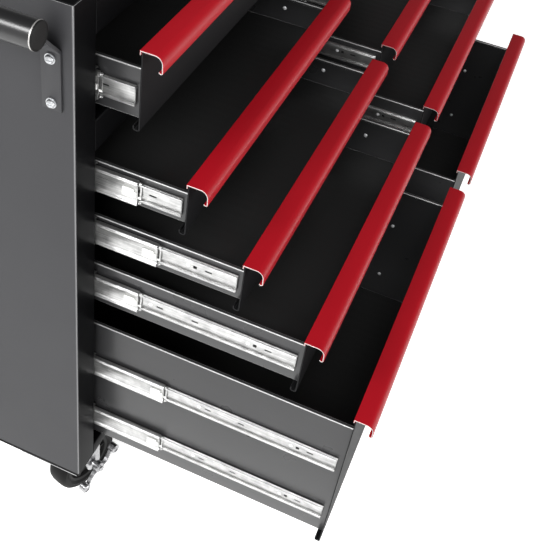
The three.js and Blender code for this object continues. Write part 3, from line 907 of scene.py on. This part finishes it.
def caster_wheel(name, body):
    """A tyre with a rounded tread, a dished hub with ribs, and a bearing cap on each side."""
    low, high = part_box(f"{name}_wheel")
    joint = next(j for j in frame["joints"] if j["child"] == body)
    centre = Vector(joint["pos_m"])
    axle = Vector(joint["axis"])
    radius = (high.z - low.z) / 2
    half = 20 * MM
    tyre = turned("y", (0, 0, 0), [
        (radius - 17 * MM, -half + 3 * MM), (radius - 13 * MM, -half),
        (radius - 6 * MM, -half + 0.4 * MM),
        (radius - 2 * MM, -half + 4 * MM), (radius - 0.3 * MM, -half + 10 * MM), (radius, 0),
        (radius - 0.3 * MM, half - 10 * MM), (radius - 2 * MM, half - 4 * MM),
        (radius - 6 * MM, half - 0.4 * MM), (radius - 13 * MM, half),
        (radius - 17 * MM, half - 3 * MM), (radius - 17 * MM, -half + 3 * MM)], 72)
    hub = turned("y", (0, 0, 0), [
        (6.4 * MM, -24 * MM), (14 * MM, -24 * MM), (15 * MM, -13 * MM), (radius - 24 * MM, -10 * MM),
        (radius - 22 * MM, -16 * MM), (radius - 17.1 * MM, -17 * MM), (radius - 17.1 * MM, 17 * MM),
        (radius - 22 * MM, 16 * MM), (radius - 24 * MM, 10 * MM), (15 * MM, 13 * MM), (14 * MM, 24 * MM),
        (6.4 * MM, 24 * MM), (6.4 * MM, -24 * MM)], 60)
    ribs = []
    for index in range(6):
        rib = block((15 * MM, -1.6 * MM, -14 * MM), (radius - 21 * MM, 1.6 * MM, 14 * MM), 0.6 * MM)
        rib.rotation_euler = (math.pi / 2, 0, 0)
        settle(rib)
        rib.rotation_euler = (0, index * math.pi / 3, 0)
        ribs.append(settle(rib))
    hub = joined(hub, *ribs)
    turn = Vector((0, 1, 0)).rotation_difference(axle).to_euler()
    for piece in (tyre, hub):
        piece.rotation_euler = turn
        piece.location = centre
        settle(piece)
    place(tyre, f"{name}_tyre", tyre_rubber, body, "wheel_rubber", f"{name}_wheel")
    place(hub, f"{name}_hub", hub_plastic, body, "wheel_rubber")


def axle_nuts(name, body, wheel_body, ways):
    joint = next(j for j in frame["joints"] if j["child"] == wheel_body)
    fork_face = 29 * MM
    nuts = [bolt((0, way * fork_face, 0), 9.5 * MM, 8 * MM, "y", way) for way in ways]
    nut = joined(*nuts)
    nut.rotation_euler = Vector((0, 1, 0)).rotation_difference(Vector(joint["axis"])).to_euler()
    nut.location = Vector(joint["pos_m"])
    settle(nut)
    place(nut, f"{name}_axle_nuts", screw_zinc_with_glint, body, "zinc")


def brake_pedal(name):
    """A rocker on the axle line: a hub, two curved arms and a round, dished pad on each."""
    joint = next(j for j in frame["joints"] if j["child"] == f"{name}_brake")
    parts = [
        turned("y", (0, 0, 0), [
            (0, -3 * MM), (9 * MM, -3 * MM), (10 * MM, -2 * MM), (10 * MM, 7.6 * MM), (0, 7.6 * MM)]),
        bolt((0, -2.8 * MM, 0), 7.5 * MM, 4 * MM, "y", -1),
    ]
    for way in (-1, 1):
        arm = ((6, -4), (14, -6.5), (24, -3.5), (35, 2.5))
        path = [(way * u * MM, way * v * MM) for u, v in arm]
        parts.append(folded_sheet(path, "y", (-3.6 * MM, 3.6 * MM), 3 * MM, 3 * MM, 4))
        parts.append(turned("y", (way * PEDAL_ARM, 0, 0), [
            (0, -5.6 * MM), (4.2 * MM, -5.6 * MM), (5.2 * MM, -6.9 * MM), (6.8 * MM, -6.9 * MM),
            (8 * MM, -5.8 * MM), (8 * MM, 5.8 * MM), (6.8 * MM, 6.9 * MM), (0, 6.9 * MM)], 32))
    pedal = joined(*parts)
    pedal.rotation_euler = (0, -math.radians(PEDAL_TILT), 0)
    settle(pedal)
    pedal.rotation_euler = Vector((0, 1, 0)).rotation_difference(Vector(joint["axis"])).to_euler()
    pedal.location = Vector(joint["pos_m"])
    return settle(pedal)


def plate_bolts(name, node):
    """Four bolt heads under the corners of a caster plate."""
    low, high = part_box(node)
    thickness = 4 * MM
    under = high.z - thickness
    inset = 13 * MM
    heads = [bolt((x, y, under), 7 * MM, 6 * MM, "z", -1)
             for x in (low.x + inset, high.x - inset) for y in (low.y + inset, high.y - inset)]
    place(joined(*heads), f"{name}_plate_bolts", screw_zinc_with_glint, "cabinet", "zinc")


def casters():
    for end in ("front", "rear"):
        name = f"caster_{end}_left"
        place(softened_node(f"{name}_plate", 0.6 * MM), f"{name}_top_plate", caster_zinc,
              "cabinet", "zinc", f"{name}_plate")
        place(softened_node(f"{name}_fork", 0.7 * MM), f"{name}_pressed_fork", caster_zinc, name, "zinc",
              f"{name}_fork")
        place(brake_pedal(name), f"{name}_rocking_pedal", caster_zinc, f"{name}_brake", "zinc",
              f"{name}_brake_pedal")
        caster_wheel(name, f"{name}_wheel_set")
        axle_nuts(name, name, f"{name}_wheel_set", [1])
        plate_bolts(name, f"{name}_plate")
        name = f"caster_{end}_right"
        place(softened_node(f"{name}_bracket", 0.7 * MM), f"{name}_pressed_bracket", caster_zinc,
              "cabinet", "zinc", f"{name}_bracket")
        caster_wheel(name, f"{name}_wheel_set")
        axle_nuts(name, "cabinet", f"{name}_wheel_set", [-1, 1])
        plate_bolts(name, f"{name}_bracket")


def lock():
    barrel = softened_node("lock_cylinder", 0.4 * MM)
    place(barrel, "lock_barrel", lock_chrome, "lock", "chrome", "lock_cylinder")


# ---------------------------------------------------------------- stage, light and camera

def stage():
    """A floor of white acrylic sheet, lit as on a light table, so that shadows stay faint."""
    floor_size = 30
    bpy.ops.object.select_all(action="DESELECT")
    bpy.ops.mesh.primitive_plane_add(size=floor_size, location=(0, 0, 0))
    floor = bpy.context.object
    floor.name = "studio_floor"
    material, _, shader, _ = new_material("white_acrylic_sheet")
    set_values(shader, Roughness=0.9, IOR=1.3, Emission_Strength=FLOOR_GLOW)
    shader.inputs["Base Color"].default_value = colour("#f4f4f3")
    shader.inputs["Emission Color"].default_value = colour("#ffffff")
    floor.data.materials.append(material)


def area_light(name, location, target, size, power):
    light = bpy.data.lights.new(name, "AREA")
    light.shape = "RECTANGLE"
    light.size, light.size_y = size
    light.energy = power
    lamp = bpy.data.objects.new(name, light)
    bpy.context.scene.collection.objects.link(lamp)
    lamp.location = location
    lamp.rotation_euler = (Vector(target) - Vector(location)).to_track_quat("-Z", "Y").to_euler()


def lights():
    world = bpy.data.worlds.new("studio_air")
    bpy.context.scene.world = world
    world.use_nodes = True
    backdrop = world.node_tree.nodes["Background"]
    backdrop.inputs["Color"].default_value = colour("#ffffff")
    direction = add_node(world.node_tree, "ShaderNodeTexCoord").outputs["Generated"]
    height = add_node(world.node_tree, "ShaderNodeSeparateXYZ", {0: direction}).outputs["Z"]
    strength = add_node(world.node_tree, "ShaderNodeMapRange", {
        "Value": height, "From Min": 0.02, "From Max": 0.3, "To Min": SKY[0], "To Max": SKY[1]})
    world.node_tree.links.new(strength.outputs["Result"], backdrop.inputs["Strength"])
    for name, location, target, size, power in LIGHTS:
        area_light(name, location, target, size, power)
    bpy.context.scene.view_settings.view_transform = "Standard"


def camera():
    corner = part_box("side_panel_left")[0]
    turn, tilt, roll = (math.radians(a) for a in (EYE_TURN, EYE_TILT, EYE_ROLL))
    back = Vector((math.sin(turn) * math.cos(tilt), -math.cos(turn) * math.cos(tilt), math.sin(tilt)))
    level = Vector((math.cos(turn), math.sin(turn), 0))
    upright = back.cross(level)
    right = level * math.cos(roll) + upright * math.sin(roll)
    up = upright * math.cos(roll) - level * math.sin(roll)
    lens = bpy.data.cameras.new("main_camera")
    lens.lens = EYE_LENS
    lens.shift_x, lens.shift_y = EYE_SHIFT
    lens.clip_start = 0.05
    eye = bpy.data.objects.new("main_camera", lens)
    bpy.context.scene.collection.objects.link(eye)
    axes = Matrix((right, up, back)).transposed().to_4x4()
    eye.matrix_world = Matrix.Translation(corner + EYE_FROM_CORNER) @ axes
    bpy.context.scene.camera = eye


# ---------------------------------------------------------------- everything, in order

camera()
stage()
lights()

side_panels()
stile_faces()
lower_seams()
front_rails()
plates()
slide_liners()

drawers()
push_handle()
casters()
lock()
